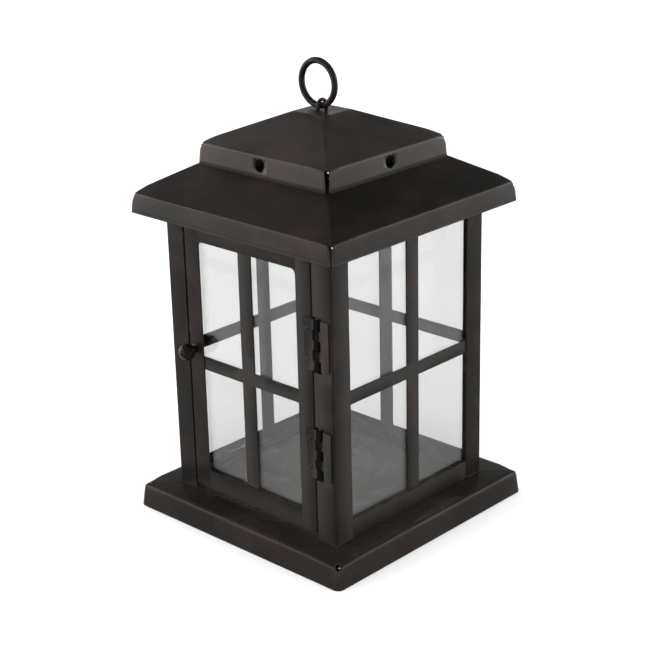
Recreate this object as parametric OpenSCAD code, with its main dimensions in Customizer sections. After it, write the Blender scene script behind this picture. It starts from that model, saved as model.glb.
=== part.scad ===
// Candle lantern: a square sheet-metal house with four glazed sides, a hinged door,
// a two-tier hipped roof with vents, and a swinging ring to hang it by.
//
// Millimetres, +Z up. The origin is the centre of the base's underside.
// The door is on the -Y side, hinged at its +X edge. Pieces of the other three sides
// are drawn as if they were on the -Y side and then turned about Z.

/* [Base] */
// Width of the base across its lower edges
base_w = 167; // [158:1:180]
// Height of the base pan
base_h = 15; // [10:0.5:20]
// How far each base skirt leans out from its fold to its lower edge
base_flare = 1.5; // [0.5:0.5:3]
// Width of the hem folded in under the base
hem_w = 4; // [3:0.5:8]
// Corner radius of the base and the roofs, seen from above
corner_r = 3; // [2:0.5:5]

/* [Body] */
// Width of the body across the corner posts
body_w = 130; // [124:1:134]
// Width of each flange of a corner post
post_w = 14; // [12:0.5:15]
// Thickness of all folded sheet
sheet = 0.8; // [0.6:0.1:1]
// Height of the bottom rails
bottom_rail_h = 11; // [8:0.5:14]
// Height where the side windows end
window_top = 184; // [178:1:186]

/* [Window bars] */
// Width of the upright bars
upright_w = 10; // [6:0.5:14]
// Height of the cross bars
cross_h = 8; // [5:0.5:12]
// Thickness of the bars
bar_t = 1; // [0.8:0.1:1.2]
// Height of the middle of the side cross bars
side_cross_z = 101; // [80:1:120]
// How far each bar runs on behind its frame
bar_lap = 4; // [2:0.5:5]
// How far the left and back uprights stand off centre, towards the corner between them
back_corner_shift = 10; // [0:1:12]
// How far the right upright stands off centre, towards the back
right_shift = 3; // [0:1:6]
// How far the door's upright stands off centre, towards the knob
door_shift = 2; // [0:1:6]

/* [Glass] */
// Thickness of the panes
glass_t = 2; // [1.5:0.1:2.2]
// How far the side panes run on behind their frame
glass_lap = 5; // [3:0.5:5]
// Width of the bent clips that hold the panes
clip_w = 6; // [4:0.5:10]

/* [Door] */
// Gap between the door and each post
door_gap = 1; // [0.8:0.1:1.5]
// Height of the door's lower edge
door_bottom = 18.5; // [17:0.5:20]
// Height of the door's upper edge
door_top = 186.5; // [184:0.5:187]
// Width of the door's stiles
stile_w = 11.5; // [9:0.5:13]
// Height of the door's rails
door_rail_h = 12; // [9:0.5:14]
// Depth of the flanges folded in around the door
door_depth = 5; // [4.5:0.5:6]
// Height of the middle of the door's cross bar
door_cross_z = 99.5; // [80:0.5:120]
// Radius of the corner fillets in the door's window
fillet_r = 3; // [1:0.5:5]
// Diameter of the knob
knob_d = 10; // [8:0.5:12]
// Height of the knob
knob_z = 107.5; // [105:0.5:120]

/* [Hinges] */
// Height of each hinge
hinge_h = 30; // [25:1:35]
// Height of the middle of the upper hinge
upper_hinge_z = 134; // [125:1:160]
// Height of the middle of the lower hinge
lower_hinge_z = 68.5; // [40:0.5:80]
// Diameter of the hinge barrels
barrel_d = 3.6; // [3.2:0.1:4]
// Diameter of the hinge pins
hinge_pin_d = 1.6; // [1.2:0.1:1.8]

/* [Roof] */
// Width of the eave across its lower edges
eave_w = 160; // [150:1:164]
// Height of the eave's lower edge
eave_z = 188; // [188:0.5:192]
// Height of the eave's skirt
eave_h = 11.5; // [8:0.5:14]
// Slope of the lower roof, in degrees
roof_pitch = 30; // [25:1:35]
// Width of the square opening at the top of the lower roof
chimney_w = 88; // [70:1:90]
// Width of the cap across its lower edges
cap_w = 103; // [96:1:106]
// Height of the cap's skirt
cap_h = 13; // [12:0.5:16]
// Slope of the cap, in degrees
cap_pitch = 22.7; // [20:0.1:25]
// Width of the flat square at the top of the cap
cap_flat_w = 24; // [18:1:26]
// How far the roof skirts lean out from fold to lower edge
roof_flare = 1; // [0.5:0.5:2]
// Diameter of the vent hole in each side of the cap
vent_d = 7.5; // [4:0.5:8]

/* [Ring] */
// Outer diameter of the hanging ring
ring_d = 29.5; // [26:0.5:34]
// Diameter of the ring's wire
ring_wire_d = 3.8; // [3:0.1:4.2]
// Diameter of the staple's wire
staple_wire_d = 2.2; // [1.8:0.1:2.4]
// How far the ring leans to the left in its staple, in degrees
ring_lean = 12; // [0:1:14]

/* [Hidden] */
$fn = 64;

// Turns about Z that take a piece from the -Y side to each side of the house
FRONT = 0;
RIGHT = 90;
BACK = 180;
LEFT = 270;

// Colours
paint = [0.13, 0.12, 0.12];
pane = [0.8, 0.83, 0.85, 0.35];
steel = [0.5, 0.48, 0.45];

// Body
body_half = body_w / 2;
window_half = body_half - post_w;
window_bottom = base_h + bottom_rail_h;
bar_back = sheet + bar_t;
glass_back_depth = bar_back + glass_t;
rail_flange = 7;

// Roof: the fold line of each skirt, and the slope's height above it
eave_half = eave_w / 2 - roof_flare;
eave_fold_z = eave_z + eave_h;
cap_half = cap_w / 2 - roof_flare;
cap_z = eave_fold_z + (eave_half - cap_w / 2) * tan(roof_pitch);
cap_fold_z = cap_z + cap_h;
cap_top = cap_fold_z + (cap_half - cap_flat_w / 2) * tan(cap_pitch);
vent_rise = 0.56;
vent_z = cap_z + vent_rise * cap_h;
post_top = roof_underside(body_half);
weld_flange = 8;
far = 200;

// Door
door_half = window_half - door_gap;
door_window_half = door_half - stile_w;
door_glass_lap = 3.5;
door_head_gap = 1.5;
knob_offset = 0.25;
knob_x = -(door_half - stile_w / 2 + knob_offset);
knob_stud_d = 3;
washer_d = 4.4;
washer_t = 1;

// Door stop: a strip behind the latch stile
stop_t = 0.6;
stop_x = -(door_half + 2);
stop_gap = 0.3;
stop_lap = 4;
stop_z = [30, 175];

// Hinges: the pin stands in the gap between door and post, level with the leaves
hinge_offset = 4.2;
hinge_x = door_half + hinge_offset;
leaf_t = 0.8;
hinge_y = -body_half - leaf_t + barrel_d / 2;
door_leaf_reach = [3.2, 10.2];
post_leaf_reach = [3, 9];
knuckles = 5;
knuckle_gap = 0.3;
pin_clearance = 0.05;
notch_clearance = 1.4;
rivet_r = 0.8;
rivet_offset = 6.9;
rivet_x = hinge_x - rivet_offset;
rivet_spread = 9;

// Ring: its lowest point turns inside the staple's eye
ring_r = (ring_d - ring_wire_d) / 2;
eye_gap = 0.4;
ring_lift = 0.65;
pivot_z = cap_top + ring_lift + ring_wire_d / 2;
staple_r = ring_wire_d / 2 + eye_gap + staple_wire_d / 2;
plate_size = [7, 12, 0.8];
hole_clearance = 0.05;
through = 1;

// Height of the underside of the lower roof, at a distance u from the middle
function roof_underside(u) =
    eave_fold_z + (eave_half - u) * tan(roof_pitch) - sheet / cos(roof_pitch);

// ---- Shared shapes ----

module rounded_square(half, r) {
    for (turn = [0:90:270])
        rotate(turn)
            translate([half - r, half - r])
                circle(r);
    square([2 * half, 2 * (half - r)], center = true);
    square([2 * (half - r), 2 * half], center = true);
}

// A skirt all round a square: the children are its section, with X measured
// outwards from the fold line and Y upwards
module skirt(half, r) {
    for (turn = [0:90:270])
        rotate(turn) {
            rotate([90, 0, 0])
                linear_extrude(2 * (half - r), center = true)
                    translate([half, 0])
                        children();
            translate([half - r, half - r, 0])
                rotate_extrude(angle = 90)
                    translate([r, 0])
                        children();
        }
}

// Everything below four planes that rise inwards from a square fold line
module below_slopes(half, z, pitch) {
    intersection_for (turn = [0:90:270])
        rotate(turn)
            translate([0, -half, z])
                rotate([pitch, 0, 0])
                    translate([-far, -far, -far])
                        cube([2 * far, 2 * far, far]);
}

// A hipped sheet over a square fold line, cut flat at the height top
module hipped_sheet(half, z, pitch, top) {
    difference() {
        intersection() {
            below_slopes(half, z, pitch);
            translate([0, 0, z])
                linear_extrude(top - z)
                    rounded_square(half, corner_r);
        }
        intersection() {
            below_slopes(half, z - sheet / cos(pitch), pitch);
            translate([-far, -far, 0])
                cube([2 * far, 2 * far, top - sheet]);
        }
    }
}

// Mirrors its children to -X for side -1, and leaves them for side 1
module on_side(side) {
    mirror([side < 0 ? 1 : 0, 0, 0])
        children();
}

// A box on the -Y side: x range, depth range in from the body's face, z range
module slab(x, depth, z) {
    translate([x[0], depth[0] - body_half, z[0]])
        cube([x[1] - x[0], depth[1] - depth[0], z[1] - z[0]]);
}

// A section with X = depth in from the body's face and Y = height, run along X
module run(x) {
    translate([x[0], -body_half, 0])
        rotate([90, 0, 90])
            linear_extrude(x[1] - x[0])
                children();
}

// Section of a glass clip. X runs outwards from the pane's edge, Y is depth:
// a foot on the frame's back, a step past the pane, and a lip over the glass
module clip_section() {
    clip_t = 0.6;
    edge_gap = 0.2;
    foot = 5;
    lip = 2;
    out = edge_gap + clip_t;
    front = sheet;
    back = glass_back_depth + clip_t;
    polygon([
        [foot, front],
        [foot, front + clip_t],
        [out, front + clip_t],
        [out, back],
        [-lip, back],
        [-lip, glass_back_depth],
        [edge_gap, glass_back_depth],
        [edge_gap, front]
    ]);
}

// A clip at the pane's edge, at angle a round the pane: 0 is +X, 90 is up
module clip(x, z, a) {
    translate([x, -body_half, z])
        rotate([0, -a, 0])
            translate([0, 0, -clip_w / 2])
                linear_extrude(clip_w)
                    clip_section();
}

// ---- Base ----

module base_pan() {
    color(paint) {
        skirt(base_w / 2 - base_flare, corner_r)
            polygon([
                [0, base_h],
                [-sheet, base_h],
                [base_flare - sheet, sheet],
                [base_flare - hem_w, sheet],
                [base_flare - hem_w, 0],
                [base_flare, 0]
            ]);
        translate([0, 0, base_h - sheet])
            linear_extrude(sheet)
                rounded_square(base_w / 2 - base_flare - sheet / 2, corner_r - sheet / 2);
    }
}

// ---- Body frame ----

module post(corner) {
    color(paint)
        rotate(corner)
            translate([0, 0, base_h])
                linear_extrude(post_top - base_h)
                    translate([body_half, -body_half])
                        polygon([
                            [0, 0],
                            [0, post_w],
                            [-sheet, post_w],
                            [-sheet, sheet],
                            [-post_w, sheet],
                            [-post_w, 0]
                        ]);
}

// The hinge post has a notch in its front flange for each hinge barrel
module hinge_post() {
    color(paint)
        difference() {
            post(FRONT);
            for (z = [lower_hinge_z, upper_hinge_z])
                slab(
                    [window_half - through, hinge_x + post_leaf_reach[0]],
                    [-through, sheet + through],
                    [z - hinge_h / 2 - notch_clearance, z + hinge_h / 2 + notch_clearance]
                );
        }
}

module bottom_rail(side) {
    color(paint)
        rotate(side)
            run([-window_half, window_half])
                polygon([
                    [0, base_h],
                    [rail_flange, base_h],
                    [rail_flange, base_h + sheet],
                    [sheet, base_h + sheet],
                    [sheet, window_bottom],
                    [0, window_bottom]
                ]);
}

// The upper flange follows the underside of the roof, where it is welded
module top_rail(side, bottom) {
    drop = sheet / cos(roof_pitch);
    color(paint)
        rotate(side)
            run([-window_half, window_half])
                polygon([
                    [0, bottom],
                    [0, roof_underside(body_half)],
                    [weld_flange, roof_underside(body_half - weld_flange)],
                    [weld_flange, roof_underside(body_half - weld_flange) - drop],
                    [sheet, roof_underside(body_half - sheet) - drop],
                    [sheet, bottom]
                ]);
}

// ---- Fixed windows ----

// Upright and cross bars are halved into each other where they meet. x is the middle of
// the upright.
module upright_bar(x, z, cross_z) {
    middle = sheet + bar_t / 2;
    difference() {
        slab(
            [x - upright_w / 2, x + upright_w / 2],
            [sheet, bar_back],
            [z[0] - bar_lap, z[1] + bar_lap]
        );
        slab(
            [x - upright_w, x + upright_w],
            [0, middle],
            [cross_z - cross_h / 2, cross_z + cross_h / 2]
        );
    }
}

module cross_bar(x, half, lap, z) {
    middle = sheet + bar_t / 2;
    difference() {
        slab([-half - lap, half + lap], [sheet, bar_back], [z - cross_h / 2, z + cross_h / 2]);
        slab(
            [x - upright_w / 2, x + upright_w / 2],
            [middle, bar_back + through],
            [z - cross_h, z + cross_h]
        );
    }
}

module side_upright_bar(side, x) {
    color(paint)
        rotate(side)
            upright_bar(x, [window_bottom, window_top], side_cross_z);
}

module side_cross_bar(side, x) {
    color(paint)
        rotate(side)
            cross_bar(x, window_half, bar_lap, side_cross_z);
}

module side_glass(side) {
    reach = window_half + glass_lap;
    color(pane)
        rotate(side)
            slab(
                [-reach, reach],
                [bar_back, glass_back_depth],
                [window_bottom - glass_lap, window_top + glass_lap]
            );
}

// Two clips above, two below and one at each end
module side_clips(side) {
    reach = window_half + glass_lap;
    spread = 30;
    end_z = 140;
    color(paint)
        rotate(side) {
            for (x = [-spread, spread]) {
                clip(x, window_top + glass_lap, 90);
                clip(x, window_bottom - glass_lap, 270);
            }
            clip(reach, end_z, 0);
            clip(-reach, end_z, 180);
        }
}

// ---- Door stop and catch, inside the latch post ----

// An angle strip: its foot on the post's flange, its lip behind the door's stile
module door_stop_strip() {
    foot_end = 1 - body_half;
    lip_front = door_depth + stop_gap;
    lip_back = lip_front + stop_t;
    color(paint)
        translate([0, -body_half, stop_z[0]])
            linear_extrude(stop_z[1] - stop_z[0])
                polygon([
                    [foot_end, sheet],
                    [foot_end, sheet + stop_t],
                    [stop_x - stop_t, sheet + stop_t],
                    [stop_x - stop_t, lip_back],
                    [stop_lap - door_half, lip_back],
                    [stop_lap - door_half, lip_front],
                    [stop_x, lip_front],
                    [stop_x, sheet]
                ]);
}

// A bowed leaf on the stop strip, which the door's edge rubs past
module door_catch_spring() {
    length = 30;
    width = 3;
    inset = 0.6;
    bow = 1.6;
    leaf = 0.4;
    fine = 180;
    r = (pow(length / 2, 2) + bow * bow) / (2 * bow);
    color(steel)
        translate([stop_x, door_depth - inset - body_half, knob_z])
            rotate([90, 0, 0])
                linear_extrude(width)
                    intersection() {
                        translate([bow - r, 0])
                            difference() {
                                circle(r, $fn = fine);
                                circle(r - leaf, $fn = fine);
                            }
                        translate([0, -length / 2])
                            square([2 * bow, length]);
                    }
}

// ---- Door ----

// side is -1 for the latch stile and 1 for the hinge stile
module stile(side) {
    translate([0, -body_half, door_bottom])
        on_side(side)
            linear_extrude(door_top - door_bottom)
                polygon([
                    [door_window_half, 0],
                    [door_half, 0],
                    [door_half, door_depth],
                    [door_half - sheet, door_depth],
                    [door_half - sheet, sheet],
                    [door_window_half, sheet]
                ]);
}

module door_stile_latch() {
    color(paint)
        difference() {
            stile(-1);
            translate([knob_x, -body_half - through, knob_z])
                rotate([-90, 0, 0])
                    cylinder(d = knob_stud_d + 2 * hole_clearance, h = sheet + 2 * through);
        }
}

module door_stile_hinge() {
    color(paint)
        difference() {
            stile(1);
            rivet_holes();
        }
}

// A door rail with its flange at the outer edge and a fillet at each window corner.
// up is 1 for the bottom rail and -1 for the top rail.
module door_rail(edge_z, up) {
    color(paint)
        translate([0, -body_half, edge_z])
            mirror([0, 0, up < 0 ? 1 : 0]) {
                rotate([90, 0, 90])
                    linear_extrude(2 * door_window_half, center = true)
                        polygon([
                            [0, 0],
                            [door_depth, 0],
                            [door_depth, sheet],
                            [sheet, sheet],
                            [sheet, door_rail_h],
                            [0, door_rail_h]
                        ]);
                for (side = [-1, 1])
                    on_side(side)
                        translate([door_window_half - fillet_r, sheet, door_rail_h])
                            rotate([90, 0, 0])
                                linear_extrude(sheet)
                                    difference() {
                                        square(fillet_r);
                                        translate([0, fillet_r])
                                            circle(fillet_r);
                                    }
            }
}

module door_upright_bar() {
    color(paint)
        upright_bar(-door_shift, [door_bottom + door_rail_h, door_top - door_rail_h], door_cross_z);
}

module door_cross_bar() {
    color(paint)
        cross_bar(-door_shift, door_window_half, door_glass_lap, door_cross_z);
}

module door_glass() {
    reach = door_window_half + door_glass_lap;
    color(pane)
        slab(
            [-reach, reach],
            [bar_back, glass_back_depth],
            [door_bottom + door_rail_h - glass_lap, door_top - door_rail_h + glass_lap]
        );
}

// Two clips above, two below and two at the hinge stile. The stop strip leaves no room
// for clips at the latch stile.
module door_glass_clips() {
    reach = door_window_half + door_glass_lap;
    spread = 25;
    stile_z = [45, 158];
    color(paint) {
        for (x = [-spread, spread]) {
            clip(x, door_top - door_rail_h + glass_lap, 90);
            clip(x, door_bottom + door_rail_h - glass_lap, 270);
        }
        for (z = stile_z)
            clip(reach, z, 0);
    }
}

// A ball on a short neck and collar, with a stud through the stile
module door_knob() {
    ball_r = knob_d / 2;
    collar_r = 0.6 * ball_r;
    collar_t = 0.8;
    neck_r = 0.4 * ball_r;
    neck = 2.2;
    stud = 2.6;
    color(paint)
        translate([knob_x, -body_half, knob_z])
            rotate([90, 0, 0]) {
                cylinder(r = collar_r, h = collar_t);
                cylinder(r = neck_r, h = neck + ball_r);
                translate([0, 0, neck + ball_r])
                    sphere(ball_r);
                translate([0, 0, -stud])
                    cylinder(d = knob_stud_d, h = stud + collar_t);
            }
}

module door_knob_washer() {
    color(steel)
        translate([knob_x, sheet - body_half, knob_z])
            rotate([-90, 0, 0])
                difference() {
                    cylinder(d = washer_d, h = washer_t);
                    translate([0, 0, -through])
                        cylinder(d = knob_stud_d + 2 * hole_clearance, h = washer_t + 2 * through);
                }
}

// ---- Hinges ----

// The leaf's plate lies on the outer face, and a tongue from it carries each knuckle.
// side is -1 for the door's leaf and 1 for the post's; first is its lowest knuckle.
module hinge_leaf(side, reach, first) {
    r = barrel_d / 2;
    pitch = hinge_h / knuckles;
    on_side(side) {
        translate([reach[0], -r, -hinge_h / 2])
            cube([reach[1] - reach[0], leaf_t, hinge_h]);
        for (k = [first:2:knuckles - 1])
            translate([0, 0, k * pitch - hinge_h / 2 + knuckle_gap / 2])
                linear_extrude(pitch - knuckle_gap)
                    difference() {
                        union() {
                            circle(r);
                            translate([0, -r])
                                square([reach[0], leaf_t]);
                        }
                        circle(hinge_pin_d / 2 + pin_clearance);
                    }
    }
}

module rivet_positions() {
    for (z = [lower_hinge_z, upper_hinge_z])
        for (up = [-1, 1])
            translate([rivet_x, -body_half, z + up * rivet_spread])
                rotate([90, 0, 0])
                    children();
}

module rivet_holes() {
    rivet_positions()
        translate([0, 0, -sheet - through])
            cylinder(r = rivet_r + hole_clearance, h = sheet + leaf_t + 2 * through);
}

module hinge_door_leaf(z) {
    color(paint)
        difference() {
            translate([hinge_x, hinge_y, z])
                hinge_leaf(-1, door_leaf_reach, 0);
            rivet_holes();
        }
}

module hinge_post_leaf(z) {
    color(paint)
        translate([hinge_x, hinge_y, z])
            hinge_leaf(1, post_leaf_reach, 1);
}

// A plain pin with a low head above the top knuckle
module hinge_pin(z) {
    head_t = 0.7;
    head_d = barrel_d - 0.6;
    color(paint)
        translate([hinge_x, hinge_y, z - hinge_h / 2]) {
            cylinder(d = hinge_pin_d, h = hinge_h + knuckle_gap);
            translate([0, 0, hinge_h + knuckle_gap])
                cylinder(d = head_d, h = head_t);
        }
}

// Domed heads on the door leaves, shanks through the stile, flat tails behind it
module hinge_rivets() {
    head_r = 1.6;
    head_h = 0.5;
    tail_r = 1.3;
    dome_r = (head_r * head_r + head_h * head_h) / (2 * head_h);
    color(paint)
        rivet_positions() {
            translate([0, 0, -sheet])
                cylinder(r = rivet_r, h = sheet + leaf_t);
            translate([0, 0, -sheet - head_h])
                cylinder(r = tail_r, h = head_h);
            translate([0, 0, leaf_t])
                intersection() {
                    translate([0, 0, head_h - dome_r])
                        sphere(dome_r);
                    cylinder(r = head_r, h = head_h);
                }
        }
}

// ---- Roof ----

module roof_lower() {
    color(paint)
        difference() {
            union() {
                skirt(eave_half, corner_r)
                    polygon([
                        [0, eave_fold_z],
                        [-sheet, eave_fold_z],
                        [roof_flare - sheet, eave_z],
                        [roof_flare, eave_z]
                    ]);
                hipped_sheet(eave_half, eave_fold_z, roof_pitch, eave_fold_z + far);
            }
            translate([-chimney_w / 2, -chimney_w / 2, eave_fold_z])
                cube([chimney_w, chimney_w, far]);
        }
}

// The cap's skirt is cut to the slope that it stands on
module roof_cap() {
    color(paint)
        difference() {
            union() {
                skirt(cap_half, corner_r)
                    polygon([
                        [0, cap_fold_z],
                        [-sheet, cap_fold_z],
                        [roof_flare - sheet, cap_z],
                        [roof_flare, cap_z]
                    ]);
                hipped_sheet(cap_half, cap_fold_z, cap_pitch, cap_top);
            }
            below_slopes(eave_half, eave_fold_z, roof_pitch);
            for (turn = [0:90:270])
                rotate(turn)
                    translate([0, -cap_half + sheet + through, vent_z])
                        rotate([90, 0, 0])
                            cylinder(d = vent_d, h = roof_flare + sheet + 2 * through);
            staple_leg_holes(cap_top - sheet);
        }
}

module staple_leg_holes(z) {
    for (side = [-1, 1])
        translate([0, side * staple_r, z - through])
            cylinder(d = staple_wire_d + 2 * hole_clearance, h = sheet + 2 * through);
}

// ---- Ring ----

// A round-topped wire staple across the ring, with its legs peened under the plate
module ring_staple() {
    foot_z = cap_top - sheet - plate_size[2];
    foot_t = 0.8;
    foot_d = staple_wire_d + 1.2;
    color(paint) {
        translate([0, 0, pivot_z])
            rotate([90, 0, 90])
                rotate_extrude(angle = 180)
                    translate([staple_r, 0])
                        circle(d = staple_wire_d);
        for (side = [-1, 1])
            translate([0, side * staple_r, foot_z - foot_t]) {
                cylinder(d = staple_wire_d, h = pivot_z - foot_z + foot_t);
                cylinder(d = foot_d, h = foot_t);
            }
    }
}

module staple_plate() {
    z = cap_top - sheet - plate_size[2];
    color(steel)
        difference() {
            translate([-plate_size[0] / 2, -plate_size[1] / 2, z])
                cube(plate_size);
            staple_leg_holes(z);
        }
}

module hanging_ring() {
    color(paint)
        translate([0, 0, pivot_z])
            rotate([90, -ring_lean, 0])
                translate([0, ring_r, 0])
                    rotate_extrude()
                        translate([ring_r, 0])
                            circle(d = ring_wire_d);
}

// ---- Assembly ----

base_pan();
post(LEFT);  // post_front_left
hinge_post();  // post_front_right
post(BACK);  // post_back_left
post(RIGHT);  // post_back_right
bottom_rail(LEFT);  // bottom_rail_left
bottom_rail(RIGHT);  // bottom_rail_right
bottom_rail(BACK);  // bottom_rail_back
top_rail(FRONT, door_top + door_head_gap);  // top_rail_front
top_rail(LEFT, window_top);  // top_rail_left
top_rail(RIGHT, window_top);  // top_rail_right
top_rail(BACK, window_top);  // top_rail_back
side_upright_bar(LEFT, -back_corner_shift);  // upright_bar_left
side_upright_bar(RIGHT, right_shift);  // upright_bar_right
side_upright_bar(BACK, back_corner_shift);  // upright_bar_back
side_cross_bar(LEFT, -back_corner_shift);  // cross_bar_left
side_cross_bar(RIGHT, right_shift);  // cross_bar_right
side_cross_bar(BACK, back_corner_shift);  // cross_bar_back
side_glass(LEFT);  // glass_left
side_glass(RIGHT);  // glass_right
side_glass(BACK);  // glass_back
side_clips(LEFT);  // glass_clips_left
side_clips(RIGHT);  // glass_clips_right
side_clips(BACK);  // glass_clips_back
door_stop_strip();
door_catch_spring();
door_stile_latch();
door_stile_hinge();
door_rail(door_top, -1);  // door_rail_top
door_rail(door_bottom, 1);  // door_rail_bottom
door_upright_bar();
door_cross_bar();
door_glass();
door_glass_clips();
door_knob();
door_knob_washer();
hinge_door_leaf(upper_hinge_z);  // upper_hinge_door_leaf
hinge_post_leaf(upper_hinge_z);  // upper_hinge_post_leaf
hinge_pin(upper_hinge_z);  // upper_hinge_pin
hinge_door_leaf(lower_hinge_z);  // lower_hinge_door_leaf
hinge_post_leaf(lower_hinge_z);  // lower_hinge_post_leaf
hinge_pin(lower_hinge_z);  // lower_hinge_pin
hinge_rivets();
roof_lower();
roof_cap();
ring_staple();
staple_plate();
hanging_ring();
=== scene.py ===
"""Looks of the candle lantern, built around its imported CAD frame.

Everything is in metres, +Z up, with the origin at the centre of the base's underside.
The door is on the -Y side. Lengths below are written in millimetres and scaled by MM.
"""

import math

import bmesh
import bpy
from mathutils import Matrix, Vector, noise


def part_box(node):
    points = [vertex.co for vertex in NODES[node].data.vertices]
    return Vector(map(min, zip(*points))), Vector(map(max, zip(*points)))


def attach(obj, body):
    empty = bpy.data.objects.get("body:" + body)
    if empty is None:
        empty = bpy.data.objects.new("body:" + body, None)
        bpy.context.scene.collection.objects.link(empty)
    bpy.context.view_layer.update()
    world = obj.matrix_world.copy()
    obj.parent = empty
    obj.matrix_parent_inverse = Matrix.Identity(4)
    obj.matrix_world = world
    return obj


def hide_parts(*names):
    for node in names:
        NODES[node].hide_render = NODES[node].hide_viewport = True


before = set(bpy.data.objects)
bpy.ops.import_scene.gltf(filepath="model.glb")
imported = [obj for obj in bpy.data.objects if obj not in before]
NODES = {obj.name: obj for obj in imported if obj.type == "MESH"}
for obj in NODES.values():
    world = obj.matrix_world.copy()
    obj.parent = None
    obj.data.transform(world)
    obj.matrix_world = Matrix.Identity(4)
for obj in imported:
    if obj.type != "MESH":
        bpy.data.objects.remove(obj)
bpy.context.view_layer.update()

# Without a seed, the noise that makes the sheet uneven would differ from run to run
noise.seed_set(1)

MM = 0.001
SHEET = 0.8 * MM

# Turns about Z, in degrees, from the -Y side to each side and from its right corner to each corner
TURNS = {"front": 0, "right": 90, "back": 180, "left": 270}
CORNER_TURNS = {"front_right": 0, "back_right": 90, "back_left": 180, "front_left": 270}


# ---------------------------------------------------------------- materials


def new_material(name):
    """A new node material, with its tree and its Principled shader."""
    mat = bpy.data.materials.new(name)
    mat.use_nodes = True
    tree = mat.node_tree
    shader = tree.nodes["Principled BSDF"]
    return mat, tree, shader


def node(tree, kind, **values):
    """Adds a node. Each of the values is one of its properties or, failing that, of its inputs."""
    made = tree.nodes.new(kind)
    for key, value in values.items():
        if hasattr(made, key):
            setattr(made, key, value)
        else:
            made.inputs[key.replace("_", " ")].default_value = value
    return made


def noise_at(tree, scale, detail=3.0, roughness=0.5, stretch=None):
    """Noise in the object's own coordinates, optionally stretched along an axis."""
    coords = node(tree, "ShaderNodeTexCoord")
    made = node(tree, "ShaderNodeTexNoise", Scale=scale, Detail=detail, Roughness=roughness)
    if stretch:
        mapping = node(tree, "ShaderNodeMapping", Scale=stretch)
        tree.links.new(coords.outputs["Object"], mapping.inputs["Vector"])
        tree.links.new(mapping.outputs["Vector"], made.inputs["Vector"])
    else:
        tree.links.new(coords.outputs["Object"], made.inputs["Vector"])
    return made.outputs["Fac"]


def ramp(tree, source, stops):
    """A colour ramp over a factor: stops are (position, colour)."""
    made = node(tree, "ShaderNodeValToRGB")
    cells = made.color_ramp.elements
    while len(cells) < len(stops):
        cells.new(0.5)
    for cell, (position, colour) in zip(cells, stops):
        cell.position = position
        cell.color = (*colour, 1)
    tree.links.new(source, made.inputs["Fac"])
    return made.outputs["Color"]


def spread(tree, source, low, high, start=0.3, end=0.7):
    """Maps a factor onto low to high."""
    made = node(tree, "ShaderNodeMapRange")
    for name, value in (("From Min", start), ("From Max", end), ("To Min", low), ("To Max", high)):
        made.inputs[name].default_value = value
    tree.links.new(source, made.inputs["Value"])
    return made.outputs["Result"]


def bumps(tree, shader, layers):
    """Stacks bump maps: layers are (height source, strength, distance)."""
    normal = None
    for height, strength, distance in layers:
        made = node(tree, "ShaderNodeBump", Strength=strength, Distance=distance)
        tree.links.new(height, made.inputs["Height"])
        if normal:
            tree.links.new(normal, made.inputs["Normal"])
        normal = made.outputs["Normal"]
    tree.links.new(normal, shader.inputs["Normal"])


def paint_material(name, dark, light, ruddy, rough, grain=0.05, gloss=0.054):
    """Semi-gloss black paint on sheet steel. It goes from dark to light in broad clouds, with
    ruddy patches, paler worn edges, orange peel as strong as grain, and uneven roughness."""
    mat, tree, shader = new_material(name)
    broad = noise_at(tree, 22, detail=2)
    tone = ramp(tree, broad, [(0.36, dark), (0.64, light)])
    patch = noise_at(tree, 34, detail=4, roughness=0.62)
    warm = node(tree, "ShaderNodeMix", data_type="RGBA")
    tree.links.new(spread(tree, patch, 0.0, 0.55, 0.49, 0.65), warm.inputs["Factor"])
    tree.links.new(tone, warm.inputs["A"])
    warm.inputs["B"].default_value = (*ruddy, 1)

    worn = node(tree, "ShaderNodeNewGeometry")
    edge = spread(tree, worn.outputs["Pointiness"], 0.0, 0.5, 0.515, 0.6)
    colour = node(tree, "ShaderNodeMix", data_type="RGBA")
    tree.links.new(edge, colour.inputs["Factor"])
    tree.links.new(warm.outputs["Result"], colour.inputs["A"])
    colour.inputs["B"].default_value = (0.035, 0.033, 0.031, 1)
    tree.links.new(colour.outputs["Result"], shader.inputs["Base Color"])

    smudge = noise_at(tree, 55, detail=5, roughness=0.6)
    tree.links.new(spread(tree, smudge, rough[0], rough[1]), shader.inputs["Roughness"])
    shader.inputs["Specular IOR Level"].default_value = gloss
    shader.inputs["Specular Tint"].default_value = (1.0, 0.92, 0.85, 1)
    bumps(
        tree,
        shader,
        [
            (noise_at(tree, 26, detail=1), 0.22, 0.8 * MM),
            (noise_at(tree, 900, detail=2), grain, 0.12 * MM),
        ],
    )
    return mat


def glass_material():
    """Clear window glass that lets lamps through, with faint smears in its gloss."""
    mat, tree, shader = new_material("window_glass")
    shader.inputs["Base Color"].default_value = (0.745, 0.75, 0.745, 1)
    shader.inputs["Transmission Weight"].default_value = 1.0
    shader.inputs["IOR"].default_value = 1.44
    smear = noise_at(tree, 18, detail=4, stretch=(1.0, 1.0, 0.35))
    tree.links.new(spread(tree, smear, 0.0, 0.018, 0.45, 0.75), shader.inputs["Roughness"])
    path = node(tree, "ShaderNodeLightPath")
    clear = node(tree, "ShaderNodeBsdfTransparent")
    clear.inputs["Color"].default_value = (0.9, 0.9, 0.9, 1)
    mix = node(tree, "ShaderNodeMixShader")
    tree.links.new(path.outputs["Is Shadow Ray"], mix.inputs["Fac"])
    tree.links.new(shader.outputs["BSDF"], mix.inputs[1])
    tree.links.new(clear.outputs["BSDF"], mix.inputs[2])
    tree.links.new(mix.outputs["Shader"], tree.nodes["Material Output"].inputs["Surface"])
    return mat


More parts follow.
